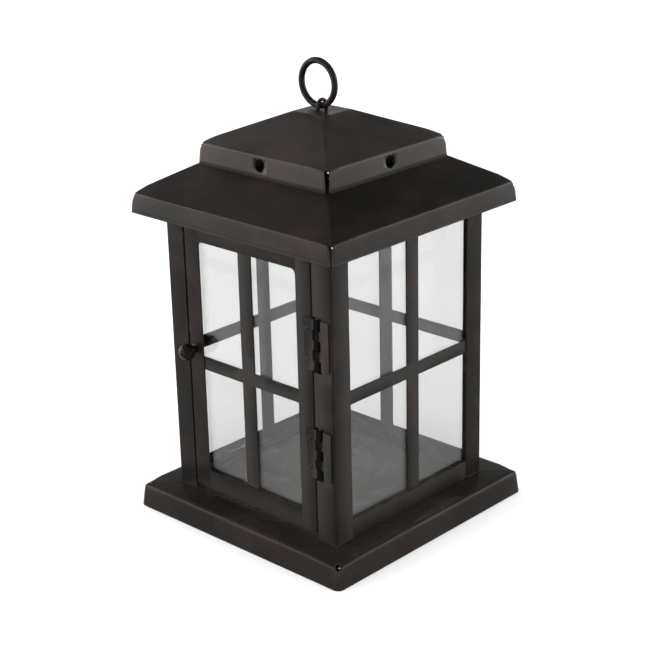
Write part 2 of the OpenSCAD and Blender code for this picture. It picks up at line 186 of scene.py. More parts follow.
def steel_material():
    """Plain drawn steel, dull, with fine drawing lines and a little tarnish."""
    mat, tree, shader = new_material("plain_steel")
    tarnish = noise_at(tree, 240, detail=4)
    colour = ramp(tree, tarnish, [(0.35, (0.20, 0.185, 0.17)), (0.65, (0.42, 0.41, 0.39))])
    tree.links.new(colour, shader.inputs["Base Color"])
    shader.inputs["Metallic"].default_value = 1.0
    drawn = noise_at(tree, 700, detail=2, stretch=(1.0, 1.0, 0.06))
    tree.links.new(spread(tree, drawn, 0.32, 0.5), shader.inputs["Roughness"])
    bumps(tree, shader, [(drawn, 0.2, 0.05 * MM)])
    return mat


def object_axes(tree):
    """The object's own coordinates, split into X, Y and Z outputs."""
    coords = node(tree, "ShaderNodeTexCoord")
    split = node(tree, "ShaderNodeSeparateXYZ")
    tree.links.new(coords.outputs["Object"], split.inputs["Vector"])
    return split.outputs


def product(tree, first, second):
    """Two factors multiplied."""
    made = node(tree, "ShaderNodeMath", operation="MULTIPLY")
    tree.links.new(first, made.inputs[0])
    tree.links.new(second, made.inputs[1])
    return made.outputs["Value"]


def inside_paint():
    """The base's paint: glossier, and scuffed and lighter in clouds where it is the chamber's floor,
    partly dust and partly a painted reflection of the lit surroundings.
    """
    mat = paint_material(
        "black_paint_base",
        dark=(0.0084, 0.0078, 0.0070),
        light=(0.0130, 0.0120, 0.0108),
        ruddy=(0.0175, 0.0100, 0.0095),
        rough=(0.28, 0.40),
        grain=0.0,
        gloss=0.06,
    )
    dust_and_reflection_colour = (0.036, 0.032, 0.028, 1)
    chamber_edge = (58 * MM, 63 * MM)
    floor_level = (14.6 * MM, 14.9 * MM)
    tree = mat.node_tree
    shader = tree.nodes["Principled BSDF"]
    painted = shader.inputs["Base Color"].links[0].from_socket

    axes = object_axes(tree)
    masks = []
    for axis in ("X", "Y"):
        size = node(tree, "ShaderNodeMath", operation="ABSOLUTE")
        tree.links.new(axes[axis], size.inputs[0])
        masks.append(spread(tree, size.outputs["Value"], 1.0, 0.0, *chamber_edge))
    on_top = spread(tree, axes["Z"], 0.0, 1.0, *floor_level)
    chamber = product(tree, product(tree, *masks), on_top)

    # Dust and painted reflection: lighter clouds on the chamber's floor
    cloud = noise_at(tree, 24, detail=5, roughness=0.6)
    mix = node(tree, "ShaderNodeMix", data_type="RGBA")
    dust_and_reflection = product(tree, chamber, spread(tree, cloud, 0.35, 1.0, 0.35, 0.62))
    tree.links.new(dust_and_reflection, mix.inputs["Factor"])
    tree.links.new(painted, mix.inputs["A"])
    mix.inputs["B"].default_value = dust_and_reflection_colour
    tree.links.new(mix.outputs["Result"], shader.inputs["Base Color"])
    smudge = noise_at(tree, 48, detail=5, roughness=0.6)
    tree.links.new(spread(tree, smudge, 0.18, 0.32), shader.inputs["Roughness"])
    return mat


def hinge_paint_with_shade():
    """The hinges' paint with painted shade: a dull near-black band where the knuckles turn, standing in
    for the shade in their recess.
    """
    # Painted shade: the colour and roughness of the shaded band along the hinge axis
    painted_shade = {"Base Color": (0.0008, 0.0008, 0.0007, 1), "Roughness": 0.85}
    kinds = {"Base Color": "RGBA", "Roughness": "FLOAT"}
    inner, outer = 1.9 * MM, 2.6 * MM
    mat = PAINT.copy()
    mat.name = "black_paint_hinge_shaded"
    tree = mat.node_tree
    shader = tree.nodes["Principled BSDF"]
    pin_low, pin_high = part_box("upper_hinge_pin")
    axis_x = (pin_low.x + pin_high.x) / 2
    across = object_axes(tree)["X"]
    rise = spread(tree, across, 0.0, 1.0, axis_x - outer, axis_x - inner)
    fall = spread(tree, across, 1.0, 0.0, axis_x + inner, axis_x + outer)
    shade_band = product(tree, rise, fall)
    for socket, shaded_value in painted_shade.items():
        source = shader.inputs[socket].links[0].from_socket
        mix = node(tree, "ShaderNodeMix", data_type=kinds[socket])
        tree.links.new(shade_band, mix.inputs["Factor"])
        clean, shaded_input = [put for put in mix.inputs if put.enabled and put.name in ("A", "B")]
        tree.links.new(source, clean)
        shaded_input.default_value = shaded_value
        result = [out for out in mix.outputs if out.enabled][0]
        tree.links.new(result, shader.inputs[socket])
    return mat


PAINT = paint_material(
    "black_paint",
    dark=(0.0028, 0.0026, 0.0023),
    light=(0.0050, 0.0046, 0.0042),
    ruddy=(0.0185, 0.0086, 0.0088),
    rough=(0.28, 0.40),
)
DOOR_PAINT = paint_material(
    "black_paint_door",
    dark=(0.0030, 0.0027, 0.0024),
    light=(0.0052, 0.0047, 0.0043),
    ruddy=(0.0185, 0.0088, 0.0090),
    rough=(0.28, 0.40),
)
# The same black paint, made darker on the lower roof: painted shade, as if the cap's skirt shaded it
ROOF_PAINT_SHADED = paint_material(
    "black_paint_roof_shaded",
    dark=(0.0024, 0.0022, 0.0020),
    light=(0.0046, 0.0042, 0.0038),
    ruddy=(0.0150, 0.0068, 0.0069),
    rough=(0.28, 0.38),
    gloss=0.08,
)
# The same black paint, made lighter on the cap than on the lower roof: painted light
CAP_PAINT_LIT = paint_material(
    "black_paint_cap_lit",
    dark=(0.0084, 0.0078, 0.0070),
    light=(0.0136, 0.0126, 0.0113),
    ruddy=(0.0255, 0.0126, 0.0122),
    rough=(0.28, 0.38),
    gloss=0.088,
)
KNOB_PAINT = paint_material(
    "black_paint_knob",
    dark=(0.0026, 0.0024, 0.0022),
    light=(0.0045, 0.0041, 0.0038),
    ruddy=(0.0070, 0.0042, 0.0040),
    rough=(0.18, 0.28),
)
BASE_PAINT = inside_paint()
HINGE_PAINT = hinge_paint_with_shade()
GLASS = glass_material()
STEEL = steel_material()


# ---------------------------------------------------------------- mesh helpers


def add_piece(name, mesh_data, material, body, nodes, bevel=0.0, angle=50):
    """Makes a piece from a bmesh, rounds its edges that are sharper than angle by bevel, and
    lets it ride on its body in place of the CAD nodes named."""
    mesh = bpy.data.meshes.new(name)
    bmesh.ops.recalc_face_normals(mesh_data, faces=mesh_data.faces[:])
    mesh_data.to_mesh(mesh)
    mesh_data.free()
    for face in mesh.polygons:
        face.use_smooth = True
    piece = bpy.data.objects.new(name, mesh)
    bpy.context.scene.collection.objects.link(piece)
    mesh.materials.append(material)
    if bevel:
        modifier = piece.modifiers.new("rounded edges", "BEVEL")
        modifier.width = bevel
        modifier.segments = 3
        modifier.limit_method = "ANGLE"
        modifier.angle_limit = math.radians(angle)
        modifier.harden_normals = True
        modifier.use_clamp_overlap = True
    mesh.set_sharp_from_angle(angle=math.radians(40))
    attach(piece, body)
    if nodes:
        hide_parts(*nodes)
    return piece


def fillet(points, radii, steps=5):
    """Rounds the corners of an open 2D line: radii has one value for each inner point."""
    line = [Vector(points[0])]
    for before, corner, after, radius in zip(points, points[1:], points[2:], radii):
        corner = Vector(corner)
        to_before = (Vector(before) - corner).normalized()
        to_after = (Vector(after) - corner).normalized()
        half_angle = to_before.angle(to_after) / 2
        reach = radius / math.tan(half_angle)
        centre = corner + (to_before + to_after).normalized() * (radius / math.sin(half_angle))
        start, end = corner + to_before * reach, corner + to_after * reach
        sweep = (start - centre).angle_signed(end - centre)
        for k in range(steps + 1):
            turn = Matrix.Rotation(-sweep * k / steps, 2)
            line.append(centre + turn @ (start - centre))
    line.append(Vector(points[-1]))
    return line


def prism(sections):
    """Joins matching rings of points into one tube with flat ends."""
    made = bmesh.new()
    rings = [[made.verts.new(p) for p in section] for section in sections]
    count = len(rings[0])
    for low, high in zip(rings, rings[1:]):
        for k in range(count):
            after = (k + 1) % count
            made.faces.new((low[k], low[after], high[after], high[k]))
    made.faces.new(rings[0])
    made.faces.new(rings[-1])
    return made


def absorb(made, extra):
    """Moves everything in one bmesh into another."""
    part = bpy.data.meshes.new("part")
    extra.to_mesh(part)
    extra.free()
    made.from_mesh(part)
    bpy.data.meshes.remove(part)


def wobble(point, size, scale=30, seed=0.0):
    """A small smooth offset that makes hand-folded sheet a little uneven."""
    at = Vector(point) * scale + Vector((seed, seed * 2, seed * 3))
    return noise.noise_vector(at) * size


def place(point, turn):
    """A point drawn on the -Y side, turned about Z to its own side."""
    return Matrix.Rotation(math.radians(turn), 3, "Z") @ Vector(point)


def baked(piece, cutters=()):
    """Cuts the cutters out of a piece and fixes its modifiers into its mesh."""
    for cutter in cutters:
        modifier = piece.modifiers.new("cut", "BOOLEAN")
        modifier.operation = "DIFFERENCE"
        modifier.solver = "EXACT"
        modifier.object = cutter
        piece.modifiers.move(len(piece.modifiers) - 1, 0 if "sheet" not in piece.modifiers else 1)
    graph = bpy.context.evaluated_depsgraph_get()
    mesh = bpy.data.meshes.new_from_object(piece.evaluated_get(graph))
    mesh.name = piece.name
    piece.modifiers.clear()
    piece.data = mesh
    for cutter in cutters:
        bpy.data.objects.remove(cutter)
    return piece


def cutter_from(mesh_data):
    """A loose solid for cutting with."""
    mesh = bpy.data.meshes.new("cutter")
    bmesh.ops.recalc_face_normals(mesh_data, faces=mesh_data.faces[:])
    mesh_data.to_mesh(mesh)
    mesh_data.free()
    tool = bpy.data.objects.new("cutter", mesh)
    bpy.context.scene.collection.objects.link(tool)
    return tool


def box_mesh(low, high):
    """A plain box as a bmesh."""
    (x0, y0, z0), (x1, y1, z1) = low, high
    ring = [(x0, y0), (x1, y0), (x1, y1), (x0, y1)]
    return prism([[(x, y, z) for x, y in ring] for z in (z0, z1)])


def lathe(profile, steps=48):
    """Turns a profile of (radius, height) about Z. It starts and ends on the axis."""
    made = bmesh.new()
    bottom = made.verts.new((0, 0, profile[0][1]))
    top = made.verts.new((0, 0, profile[-1][1]))
    rings = []
    for radius, height in profile[1:-1]:
        turns = [2 * math.pi * k / steps for k in range(steps)]
        rings.append(
            [made.verts.new((radius * math.cos(t), radius * math.sin(t), height)) for t in turns]
        )
    for k in range(steps):
        after = (k + 1) % steps
        made.faces.new((bottom, rings[0][after], rings[0][k]))
        made.faces.new((top, rings[-1][k], rings[-1][after]))
        for low, high in zip(rings, rings[1:]):
            made.faces.new((low[k], low[after], high[after], high[k]))
    return made


def tube(path, radius_at, steps=14, closed=False):
    """A round tube along a path of points. radius_at gives the radius at each point's index."""
    made = bmesh.new()
    count = len(path)
    rings = []
    side = None
    for k, point in enumerate(path):
        before = path[(k - 1) % count] if closed or k > 0 else point
        after = path[(k + 1) % count] if closed or k < count - 1 else point
        along = (after - before).normalized()
        if side is None:
            side = along.orthogonal().normalized()
        side = (side - along * side.dot(along)).normalized()
        other = along.cross(side)
        radius = radius_at(k)
        turns = [2 * math.pi * j / steps for j in range(steps)]
        rings.append(
            [made.verts.new(point + (side * math.cos(t) + other * math.sin(t)) * radius) for t in turns]
        )
    pairs = list(zip(rings, rings[1:])) + ([(rings[-1], rings[0])] if closed else [])
    for low, high in pairs:
        for j in range(steps):
            after = (j + 1) % steps
            made.faces.new((low[j], low[after], high[after], high[j]))
    if not closed:
        made.faces.new(rings[0])
        made.faces.new(rings[-1])
    return made


# ---------------------------------------------------------------- sizes from the frame

base_low, base_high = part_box("base_pan")
post_low, post_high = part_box("post_front_left")
eave_low, eave_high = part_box("roof_lower")
cap_low, cap_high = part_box("roof_cap")

BODY = -post_low.x
POST_W = post_high.x - post_low.x
BASE_TOP = base_high.z
# Half widths of the base and the roofs at their lowest edge
BASE_HALF = base_high.x
EAVE_HALF = eave_high.x
CAP_HALF = cap_high.x
# Heights of the roofs' lowest edges, of their folds, and of their tops
EAVE_Z = eave_low.z
EAVE_FOLD = EAVE_Z + 11.5 * MM
EAVE_TOP = eave_high.z
CAP_Z = cap_low.z
CAP_SKIRT = 13 * MM
CAP_FOLD = CAP_Z + CAP_SKIRT
CAP_TOP = cap_high.z
# Radius round a shell's upright corners
CORNER_R = 3 * MM
# Edges of folded sheet are rounded by this much
SOFT_EDGE = 0.16 * MM


# ---------------------------------------------------------------- folded sheet shells


def shell_ring(half, radius, z, opening, inset, side_steps):
    """One ring round a rounded square. Its corners keep points at both lips of the slit,
    opening apart, and one between them that lies inset behind the surface."""
    quarter = math.pi / 4
    lip = min(opening / 2 / radius, quarter * 0.8)
    arc = [0, 1 / 3, 2 / 3, 1]
    angles = [(quarter - lip) * a for a in arc] + [quarter]
    angles += [2 * quarter - a for a in angles[-2::-1]]
    points = []
    for corner in range(4):
        centre = Vector((half - radius, half - radius))
        turn = Matrix.Rotation(math.pi / 2 * corner, 2)
        for a in angles:
            reach = radius - (inset if a == quarter else 0)
            points.append(turn @ (centre + Vector((math.cos(a), math.sin(a))) * reach))
        start = points[-1]
        end = Matrix.Rotation(math.pi / 2 * (corner + 1), 2) @ Vector((half, half - radius))
        for k in range(1, side_steps):
            points.append(start.lerp(end, k / side_steps))
    return [Vector((p.x, p.y, z)) for p in points]


def folded_shell(name, rows, node_name, material, closed_top, fold_z, seed, wave=0.16 * MM):
    """A folded sheet, swept from its lower hem to its top. A row is
    (half, corner radius, z, slit opening, seam inset, is the slit cut through here). The
    corners are beaten in and down a little round the fold, and the sheet waves."""
    beaten_in, beaten_down = 1.3 * MM, 0.6 * MM
    beaten_high, beaten_wide = 2.8 * MM, 8 * MM
    made = bmesh.new()
    side_steps = 16
    corner_points = 9
    lips = (3, 4)
    per_side = corner_points + side_steps - 1
    widest = max(row[0] for row in rows)
    rings = []
    for half, radius, z, opening, inset, _ in rows:
        ring = shell_ring(half, radius, z, opening, inset, side_steps)
        away = ((z - fold_z) / beaten_high) ** 2 + ((widest - half) / beaten_wide) ** 2
        beaten = math.exp(-away)
        bent = []
        for k, point in enumerate(ring):
            if k % per_side < corner_points:
                flat = Vector((point.x, point.y, 0)).normalized()
                point = point - (flat * beaten_in + Vector((0, 0, beaten_down))) * beaten
            loose = 0 if z < rows[0][2] + 0.5 * MM else wave
            shift = wobble(point, loose, scale=26, seed=seed)
            bent.append(point + Vector((shift.x, shift.y, shift.z)) - point.normalized() * loose * 0.3)
        rings.append([made.verts.new(p) for p in bent])
    count = len(rings[0])
    for row, (low, high) in zip(rows, zip(rings, rings[1:])):
        for k in range(count):
            if row[5] and k % per_side in lips:
                continue
            after = (k + 1) % count
            made.faces.new((low[k], low[after], high[after], high[k]))
    if closed_top:
        made.faces.new(rings[-1])
    piece = add_piece(name, made, material, "housing", [node_name])
    sheet = piece.modifiers.new("sheet", "SOLIDIFY")
    sheet.thickness = SHEET
    sheet.offset = -1
    sheet.use_even_offset = True
    return piece


def rows_from(profile, radius_at, slit_at):
    """Rows for a shell from its profile of (half, z) points."""
    return [(half, radius_at(half, z), z, *slit_at(z)) for half, z in profile]


def base_piece():
    """The base pan: a hem folded in below, leaning skirts, and a flat top. The corners are
    welded, with a small open notch where the folds meet."""
    fold = BASE_HALF - 1.5 * MM
    hem = BASE_HALF - 4 * MM
    flat_rows = range(60, 4, -5)
    line = fillet(
        [
            (hem, SHEET * 0.25),
            (hem + 0.4 * MM, 0),
            (BASE_HALF, 0),
            (fold, BASE_TOP),
            (flat_rows[0] * MM, BASE_TOP),
        ],
        [0.2 * MM, 0.9 * MM, 3.0 * MM],
        steps=6,
    )
    line += [Vector((half * MM, BASE_TOP)) for half in flat_rows[1:]]
    notch_z = BASE_TOP - 3.4 * MM

    def radius(half, z):
        if half >= fold - 3 * MM:
            return CORNER_R + max(half - fold, 0)
        if z > notch_z:
            return max(CORNER_R * half / fold, 0.8 * MM)
        return 1.2 * MM

    def slit(z):
        if z > BASE_TOP - 0.25 * MM:
            return 0.8 * MM, 0.0, False
        if z > notch_z:
            return 2.8 * MM, 0.0, True
        return 0.7 * MM, 0.32 * MM, False

    rows = rows_from(line, radius, slit)
    folded_shell("base_sheet", rows, "base_pan", BASE_PAINT, True, BASE_TOP, seed=2.0)


def roof_rows(lower, low_z, fold_z, slope_end, slit_top, slit_bottom, hip):
    """Rows for a roof: a leaning skirt, a rounded fold, and a slope up to its end, with hip
    the radius along the slope's corners. The skirt's corners are slit open."""
    skirt_rows = 4
    slope_rows = 6
    fold = lower - 1 * MM
    line = fillet([(lower, low_z), (fold, fold_z), slope_end], [3.0 * MM], steps=9)
    start, end = line[-2], line[-1]
    line = line[:-1] + [start.lerp(end, k / slope_rows) for k in range(1, slope_rows + 1)]
    skirt = [line[0].lerp(line[1], k / skirt_rows) for k in range(skirt_rows)]
    line = skirt + line[1:]

    def radius(half, z):
        above = z - fold_z + 1 * MM
        if above <= 0:
            return CORNER_R + max(half - fold, 0)
        return CORNER_R + (hip - CORNER_R) * min(above / (3 * MM), 1)

    def slit(z):
        if z > fold_z - 0.2 * MM:
            return 0.7 * MM, 0.0, False
        share = (z - low_z) / (fold_z - low_z)
        return slit_bottom + (slit_top - slit_bottom) * share ** 1.5, 0.0, True

    return rows_from(line, radius, slit)


def lower_roof():
    """The lower roof: an eave skirt under a slope that ends in a square chimney hole."""
    chimney = 44 * MM
    rows = roof_rows(
        EAVE_HALF,
        EAVE_Z,
        EAVE_FOLD,
        (chimney, EAVE_TOP),
        slit_top=3.6 * MM,
        slit_bottom=1.9 * MM,
        hip=1.1 * MM,
    )
    folded_shell(
        "lower_roof_sheet", rows, "roof_lower", ROOF_PAINT_SHADED, False, EAVE_FOLD, seed=5.0, wave=0.22 * MM
    )


def cap_roof():
    """The cap: a skirt with a vent in each side, a slope, and a small flat top."""
    slope_end = 12 * MM
    rows = roof_rows(
        CAP_HALF,
        CAP_Z,
        CAP_FOLD,
        (slope_end, CAP_TOP),
        slit_top=3.6 * MM,
        slit_bottom=2.2 * MM,
        hip=0.9 * MM,
    )
    rows += [(half * MM, 1 * MM, CAP_TOP, 0.3 * MM, 0.0, False) for half in (11.3, 7, 3)]
    piece = folded_shell(
        "cap_sheet", rows, "roof_cap", CAP_PAINT_LIT, True, CAP_FOLD, seed=9.0, wave=0.18 * MM
    )
    vent_r = 7.5 * MM / 2
    vent_z = CAP_Z + 0.56 * CAP_SKIRT
    near, far = -CAP_HALF - 3 * MM, -CAP_HALF + 5 * MM
    steps = 40
    ring = [2 * math.pi * k / steps for k in range(steps)]
    cutters = []
    for turn in TURNS.values():
        sections = [
            [place((vent_r * math.cos(t), y, vent_z + vent_r * math.sin(t)), turn) for t in ring]
            for y in (near, far)
        ]
        cutters.append(cutter_from(prism(sections)))
    baked(piece, cutters)


base_piece()
lower_roof()
cap_roof()


def glint_beads():
    """A bright drop of bare steel beside the notch at each folded corner: a painted highlight that
    stands in for the glint at the notch.
    """
    # Painted highlight: shiny steel drops put where the corner notches show a glint
    drop_r, reach = 0.42 * MM, 2.1 * MM
    # For each shell: half width and height of its drops, and how far beside the corner they lie
    spots = {
        "base": (BASE_HALF - 1.6 * MM, BASE_TOP - 1.7 * MM, 1.6 * MM),
        "eave": (EAVE_HALF - 1.1 * MM, EAVE_Z + 9.6 * MM, 1.9 * MM),
        "cap": (CAP_HALF - 1.1 * MM, CAP_Z + 11.2 * MM, 1.8 * MM),
    }
    for name, (half, z, aside) in spots.items():
        angle = math.radians(-45) + aside / CORNER_R * 0.55
        centre = Vector((half - CORNER_R, -half + CORNER_R, z))
        at = centre + Vector((math.cos(angle), math.sin(angle), 0)) * reach
        made = bmesh.new()
        for corner in range(4):
            drop = bmesh.ops.create_icosphere(made, subdivisions=3, radius=drop_r)["verts"]
            for vert in drop:
                local = vert.co + wobble(vert.co * 8 + at * 40, 0.1 * MM, scale=300, seed=corner)
                stretched = Vector((local.x, local.y, local.z * 1.25))
                vert.co = place(at + stretched, 90 * corner)
        add_piece(f"glint_drops_{name}", made, STEEL, "housing", [])


glint_beads()


# ---------------------------------------------------------------- body


def post_section():
    """Outline of a corner post at the front right corner: two flanges whose folded corner
    has rounded lips and a thin sunken seam between them."""
    edge = [
        (-POST_W, 0),
        (-1.1 * MM, 0),
        (-0.66 * MM, 0.06 * MM),
        (-0.46 * MM, 0.24 * MM),
        (-0.42 * MM, 0.42 * MM),
    ]
    outer = edge + [(-y, -x) for x, y in edge[-2::-1]]
    inner = [(-SHEET, POST_W), (-SHEET, SHEET), (-POST_W, SHEET)]
    return [(BODY + x, -BODY + y) for x, y in outer + inner]


def hinge_notches():
    """Cutters for the notches in the front right post that the hinges' knuckles turn in."""
    room = 1.4 * MM
    notch_side = 57.2 * MM
    made = []
    for hinge in ("upper", "lower"):
        low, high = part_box(f"{hinge}_hinge_post_leaf")
        start = (BODY - POST_W - 2 * MM, -BODY - 1 * MM, low.z - room)
        end = (notch_side, -BODY + SHEET + 1 * MM, high.z + room)
        made.append(cutter_from(box_mesh(start, end)))
    return made


def posts():
    """The four corner posts, each a little out of true. One has the hinges' notches."""
    outline = post_section()
    rows = 28
    for number, (name, turn) in enumerate(CORNER_TURNS.items()):
        low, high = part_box(f"post_{name}")
        sections = []
        for k in range(rows + 1):
            z = low.z + (high.z - low.z) * k / rows
            shift = wobble((0, number, z), 0.10 * MM, scale=38, seed=number)
            sections.append([place((x + shift.x * 0.5, y + shift.y * 0.5, z), turn) for x, y in outline])
        post = add_piece(
            f"{name}_post", prism(sections), PAINT, "housing", [f"post_{name}"], bevel=SOFT_EDGE
        )
        if name == "front_right":
            baked(post, hinge_notches())


posts()


def axes_by_size(size):
    """The axes along which a bar is longest, of middling width and thinnest."""
    long_axis = max(range(3), key=lambda axis: size[axis])
    thin_axis = min(range(3), key=lambda axis: size[axis])
    return long_axis, 3 - long_axis - thin_axis, thin_axis


def pane(name, node_name, body):
    """A flat pane with ground edges."""
    low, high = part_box(node_name)
    size = high - low
    long_axis, wide_axis, thin_axis = axes_by_size(size)
    steps = 2
    sections = []
    for k in range(steps + 1):
        section = []
        for wide, thin in ((0, 0), (1, 0), (1, 1), (0, 1)):
            point = Vector((0, 0, 0))
            point[long_axis] = low[long_axis] + size[long_axis] * k / steps
            point[wide_axis] = low[wide_axis] + size[wide_axis] * wide
            point[thin_axis] = low[thin_axis] + size[thin_axis] * thin
            section.append(point)
        sections.append(section)
    add_piece(name, prism(sections), GLASS, body, [node_name], bevel=0.25 * MM)


def halved_bar(name, node_name, other_low, other_high, front_half, body):
    """A window bar that is half as thick where the other bar crosses it. front_half says
    whether it keeps its outer half there."""
    low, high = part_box(node_name)
    size = high - low
    long_axis, wide_axis, thin_axis = axes_by_size(size)
    outer_is_high = (low[thin_axis] + high[thin_axis]) > 0
    middle = (low[thin_axis] + high[thin_axis]) / 2
    keep_high = outer_is_high == front_half
    thin = (middle, high[thin_axis]) if keep_high else (low[thin_axis], middle)
    full = (low[thin_axis], high[thin_axis])
    start, end = other_low[long_axis], other_high[long_axis]
    steps = 7
    before = [low[long_axis] + (start - low[long_axis]) * k / steps for k in range(steps + 1)]
    after = [end + (high[long_axis] - end) * k / steps for k in range(steps + 1)]
    stations = [(along, full) for along in before]
    stations += [(start, thin), (end, thin)]
    stations += [(along, full) for along in after]
    sections = []
    for along, (near, far) in stations:
        section = []
        for wide, depth in ((0, near), (1, near), (1, far), (0, far)):
            point = Vector((0, 0, 0))
            point[long_axis] = along
            point[wide_axis] = low[wide_axis] + size[wide_axis] * wide
            point[thin_axis] = depth
            section.append(point)
        sections.append(section)
    add_piece(name, prism(sections), PAINT, body, [node_name], bevel=0.12 * MM)


def window_bars():
    """The crossed bars of the three fixed windows and of the door."""
    sides = ("left", "right", "back")
    sets = [(f"upright_bar_{side}", f"cross_bar_{side}", side, "housing") for side in sides]
    sets.append(("door_upright_bar", "door_cross_bar", "door", "door"))
    for upright, cross, side, body in sets:
        up_low, up_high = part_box(upright)
        cross_low, cross_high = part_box(cross)
        halved_bar(f"{side}_window_upright", upright, cross_low, cross_high, False, body)
        halved_bar(f"{side}_window_crossbar", cross, up_low, up_high, True, body)


window_bars()


def panes():
    for side in ("left", "right", "back"):
        pane(f"{side}_pane", f"glass_{side}", "housing")
    pane("door_pane", "door_glass", "door")


panes()


def folded_rail(name, node_name, section, turn):
    """A rail's section of (depth, z) points, run along X and turned to its side."""
    window = BODY - POST_W
    steps = 16
    sections = []
    for k in range(steps + 1):
        x = -window + 2 * window * k / steps
        shift = wobble((x, turn, section[0][1]), 0.08 * MM, scale=30)
        sections.append([place((x, -BODY + depth, z + shift.z), turn) for depth, z in section])
    add_piece(name, prism(sections), PAINT, "housing", [node_name], bevel=SOFT_EDGE, angle=40)


def foot_rails():
    """The angle rails at the foot of the fixed windows."""
    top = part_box("bottom_rail_back")[1].z
    flange = 7 * MM
    section = [
        (0, BASE_TOP),
        (flange, BASE_TOP),
        (flange, BASE_TOP + SHEET),
        (SHEET, BASE_TOP + SHEET),
        (SHEET, top),
        (0, top),
    ]
    for side in ("left", "right", "back"):
        folded_rail(f"{side}_foot_rail", f"bottom_rail_{side}", section, TURNS[side])


def head_rails():
    """The rails at the head of every side, folded in under the roof's slope."""
    lean = math.radians(30)
    slope = math.tan(lean)
    drop = SHEET / math.cos(lean)
    weld = 8 * MM
    for side in ("front", "left", "right", "back"):
        low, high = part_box(f"top_rail_{side}")
        head = high.z - weld * slope
        section = [
            (0, low.z),
            (0, head),
            (weld, high.z),
            (weld, high.z - drop),
            (SHEET, head + SHEET * slope - drop),
            (SHEET, low.z),
        ]
        folded_rail(f"{side}_head_rail", f"top_rail_{side}", section, TURNS[side])


foot_rails()
head_rails()


# ---------------------------------------------------------------- door


def door_stiles():
    """The door's two stiles: a face and a flange folded in along the outer edge."""
    rows = 26
    for name, side in (("latch", -1), ("hinge", 1)):
        low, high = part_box(f"door_stile_{name}")
        inner = min(abs(low.x), abs(high.x))
        outer = max(abs(low.x), abs(high.x))
        depth = high.y - low.y
        corner = fillet([(inner, 0), (outer, 0), (outer, depth)], [0.7 * MM], steps=4)
        outline = [(p.x, p.y) for p in corner]
        outline += [(outer - SHEET, depth), (outer - SHEET, SHEET), (inner, SHEET)]
        sections = []
        for k in range(rows + 1):
            z = low.z + (high.z - low.z) * k / rows
            shift = wobble((side, 0, z), 0.10 * MM, scale=34, seed=3)
            sections.append([(side * x + shift.x, -BODY + y, z) for x, y in outline])
        nodes = [f"door_stile_{name}"]
        add_piece(f"door_{name}_stile", prism(sections), DOOR_PAINT, "door", nodes, bevel=SOFT_EDGE)


def door_rails():
    """The door's two rails: a face with a fillet at each window corner and a folded flange."""
    face_h = 12 * MM
    web = 3 * MM
    steps = 6
    arc = [math.pi / 2 * k / steps for k in range(steps + 1)]
    for name, up in (("top", -1), ("bottom", 1)):
        low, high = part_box(f"door_rail_{name}")
        half = high.x
        edge = low.z if up > 0 else high.z
        right = [(half - web + web * math.sin(t), face_h + web - web * math.cos(t)) for t in arc]
        left = [(-x, h) for x, h in reversed(right)]
        outline = [(-half, 0), (half, 0)] + right[::-1] + left[::-1]
        made = prism([[(x, -BODY + d, edge + up * h) for x, h in outline] for d in (0, SHEET)])
        flange = box_mesh(
            (-half, -BODY + SHEET, min(edge, edge + up * SHEET)),
            (half, high.y, max(edge, edge + up * SHEET)),
        )
        absorb(made, flange)
        nodes = [f"door_rail_{name}"]
        add_piece(f"door_{name}_rail", made, DOOR_PAINT, "door", nodes, bevel=SOFT_EDGE)


door_stiles()
door_rails()


def door_knob():
    """A turned ball knob on a short neck and collar, drawn up Z and laid down along -Y."""
    low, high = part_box("door_knob")
    ball_r = (high.x - low.x) / 2
    neck_r, collar_r = 0.4 * ball_r, 0.62 * ball_r
    neck = 2.2 * MM
    centre = neck + ball_r
    profile = [
        (0, 0),
        (collar_r * 0.92, 0),
        (collar_r, 0.15 * MM),
        (collar_r, 0.55 * MM),
        (collar_r * 0.9, 0.8 * MM),
        (neck_r * 1.12, 0.95 * MM),
        (neck_r, 1.5 * MM),
    ]
    start = math.pi - math.asin(neck_r / ball_r)
    steps = 22
    for k in range(steps):
        t = start * (1 - k / steps)
        profile.append((ball_r * math.sin(t), centre + ball_r * math.cos(t)))
    profile.append((0, centre + ball_r))
    made = lathe(profile)
    spot = Vector(((low.x + high.x) / 2, -BODY, (low.z + high.z) / 2))
    for vert in made.verts:
        vert.co = spot + Vector((vert.co.x, -vert.co.z, vert.co.y))
    add_piece("knob", made, KNOB_PAINT, "door", ["door_knob"])


door_knob()


# ---------------------------------------------------------------- hinges


HINGE_H = 30 * MM
BARREL_R = 1.8 * MM
BORE_R = 0.85 * MM


def knuckle(axis, side, low_z, high_z):
    """A leaf's edge rolled round the pin, with a thin slit where the roll ends."""
    start = math.pi * 1.5
    rolled = 2 * math.pi * 0.97
    steps = 28
    turns = [start - side * rolled * k / steps for k in range(steps + 1)]
    outline = [(axis.x + BARREL_R * math.cos(t), axis.y + BARREL_R * math.sin(t)) for t in turns]
    outline += [(axis.x + BORE_R * math.cos(t), axis.y + BORE_R * math.sin(t)) for t in turns[::-1]]
    return prism([[(x, y, z) for x, y in outline] for z in (low_z, high_z)])


